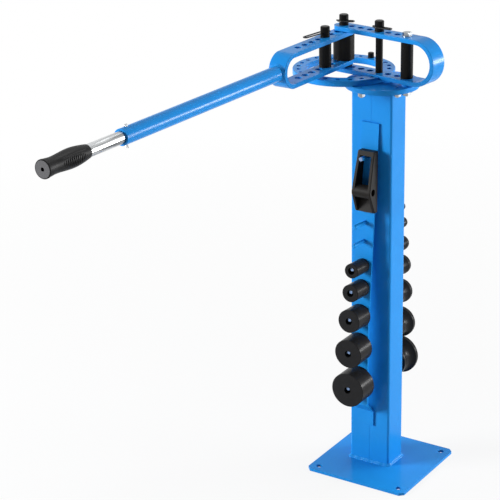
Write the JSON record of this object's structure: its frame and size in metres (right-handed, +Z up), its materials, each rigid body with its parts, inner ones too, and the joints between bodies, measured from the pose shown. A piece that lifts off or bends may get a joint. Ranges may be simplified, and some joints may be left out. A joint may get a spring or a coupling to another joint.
{
  "type": "pipe bender",
  "caption": "Pedestal pipe bender: a lever arm with a roller swings round a centre die inside a fixed U frame over an angle ring, on a square column with pegs for spare dies.",
  "frame": {"origin": "middle of the base plate's underside", "axes": "+Z up the column, -Y to the front face with the pegs and plain dies, +X to the right"},
  "size_m": [0.347, 1.0535, 0.9998],
  "materials": {
    "blue_enamel": "gloss enamel",
    "zinc_plate": "bright zinc plate",
    "black_oxide": "satin black oxide",
    "black_wire": "black spring wire",
    "grip_rubber": "moulded rubber"
  },
  "bodies": {
    "stand": {"base_plate": "blue_enamel", "foot_weld": "blue_enamel", "column": "blue_enamel", "column_flange": "blue_enamel", "head_plate": "blue_enamel", "plate_bolts": "zinc_plate", "plate_nuts": "zinc_plate", "plate_washers": "zinc_plate", "angle_ring": "blue_enamel", "fixed_frame": "blue_enamel", "sleeve_bolt": "zinc_plate", "sleeve_nut": "zinc_plate", "sleeve_washers": "zinc_plate", "leg_packing": "blue_enamel", "spacer_sleeve": "black_oxide", "pivot_washer": "black_oxide", "front_peg_strip": "blue_enamel", "front_pegs": "blue_enamel", "rear_peg_strip": "blue_enamel", "rear_pegs": "blue_enamel"},
    "arm": {"arm_frame": "blue_enamel", "handle_tube": "blue_enamel", "extension_tube": "zinc_plate", "split_pin": "zinc_plate", "grip": "grip_rubber"},
    "centre_pin": {"centre_pin": "black_oxide", "centre_pin_clip": "black_wire"},
    "centre_die": {"centre_die": "black_oxide"},
    "roller_pin": {"roller_pin": "black_oxide", "roller_pin_clip": "black_wire"},
    "roller_sleeve": {"roller_sleeve": "black_oxide"},
    "frame_pin": {"frame_pin": "black_oxide", "frame_pin_clip": "black_wire"},
    "stop_pin": {"stop_pin": "black_oxide"},
    "bending_block": {"bending_block": "black_oxide"},
    "plain_die_1": {"plain_die_1": "black_oxide"},
    "plain_die_2": {"plain_die_2": "black_oxide"},
    "plain_die_3": {"plain_die_3": "black_oxide"},
    "plain_die_4": {"plain_die_4": "black_oxide"},
    "plain_die_5": {"plain_die_5": "black_oxide"},
    "grooved_die_1": {"grooved_die_1": "black_oxide"},
    "grooved_die_2": {"grooved_die_2": "black_oxide"},
    "grooved_die_3": {"grooved_die_3": "black_oxide"},
    "grooved_die_4": {"grooved_die_4": "black_oxide"},
    "grooved_die_5": {"grooved_die_5": "black_oxide"},
    "grooved_die_6": {"grooved_die_6": "black_oxide"},
    "grooved_die_7": {"grooved_die_7": "black_oxide"}
  },
  "joints": [
    {"name": "arm_swing", "type": "hinge", "parent": "stand", "child": "arm", "pos_m": [-0.10596, 0.01996, 0.9313], "axis": [0, 0, 1], "range_deg": [-167, 56]},
    {"name": "centre_die_spin", "type": "hinge", "parent": "stand", "child": "centre_die", "pos_m": [-0.10596, 0.01996, 0.9313], "axis": [0, 0, 1], "continuous": true},
    {"name": "roller_spin", "type": "hinge", "parent": "arm", "child": "roller_sleeve", "pos_m": [-0.10883, -0.05148, 0.9313], "axis": [0, 0, 1], "continuous": true},
    {"name": "centre_pin_lift", "type": "slide", "parent": "stand", "child": "centre_pin", "axis": [0, 0, 1], "range_m": [0, 0.11]},
    {"name": "frame_pin_lift", "type": "slide", "parent": "stand", "child": "frame_pin", "axis": [0, 0, 1], "range_m": [0, 0.11]},
    {"name": "roller_pin_lift", "type": "slide", "parent": "arm", "child": "roller_pin", "axis": [0, 0, 1], "range_m": [0, 0.085]},
    {"name": "stop_pin_lift", "type": "slide", "parent": "stand", "child": "stop_pin", "axis": [0, 0, 1], "range_m": [0, 0.03]},
    {"name": "plain_die_1_slide", "type": "slide", "parent": "stand", "child": "plain_die_1", "axis": [0.0009, -0.9976, 0.0694], "range_m": [0, 0.05]},
    {"name": "plain_die_2_slide", "type": "slide", "parent": "stand", "child": "plain_die_2", "axis": [0.0009, -0.9976, 0.0694], "range_m": [0, 0.05]},
    {"name": "plain_die_3_slide", "type": "slide", "parent": "stand", "child": "plain_die_3", "axis": [0.0009, -0.9976, 0.0694], "range_m": [0, 0.05]},
    {"name": "plain_die_4_slide", "type": "slide", "parent": "stand", "child": "plain_die_4", "axis": [0, -1, 0], "range_m": [0, 0.05]},
    {"name": "plain_die_5_slide", "type": "slide", "parent": "stand", "child": "plain_die_5", "axis": [0, -1, 0], "range_m": [0, 0.05]},
    {"name": "grooved_die_1_slide", "type": "slide", "parent": "stand", "child": "grooved_die_1", "axis": [0, 1, 0], "range_m": [0, 0.05]},
    {"name": "grooved_die_2_slide", "type": "slide", "parent": "stand", "child": "grooved_die_2", "axis": [0, 1, 0], "range_m": [0, 0.05]},
    {"name": "grooved_die_3_slide", "type": "slide", "parent": "stand", "child": "grooved_die_3", "axis": [0, 1, 0], "range_m": [0, 0.05]},
    {"name": "grooved_die_4_slide", "type": "slide", "parent": "stand", "child": "grooved_die_4", "axis": [0, 1, 0], "range_m": [0, 0.05]},
    {"name": "grooved_die_5_slide", "type": "slide", "parent": "stand", "child": "grooved_die_5", "axis": [0, 1, 0], "range_m": [0, 0.05]},
    {"name": "grooved_die_6_slide", "type": "slide", "parent": "stand", "child": "grooved_die_6", "axis": [0, 1, 0], "range_m": [0, 0.05]},
    {"name": "grooved_die_7_slide", "type": "slide", "parent": "stand", "child": "grooved_die_7", "axis": [0, 1, 0], "range_m": [0, 0.05]},
    {"name": "bending_block_slide", "type": "slide", "parent": "stand", "child": "bending_block", "axis": [0.0009, -0.9976, 0.0694], "range_m": [0, 0.05]}
  ]
}
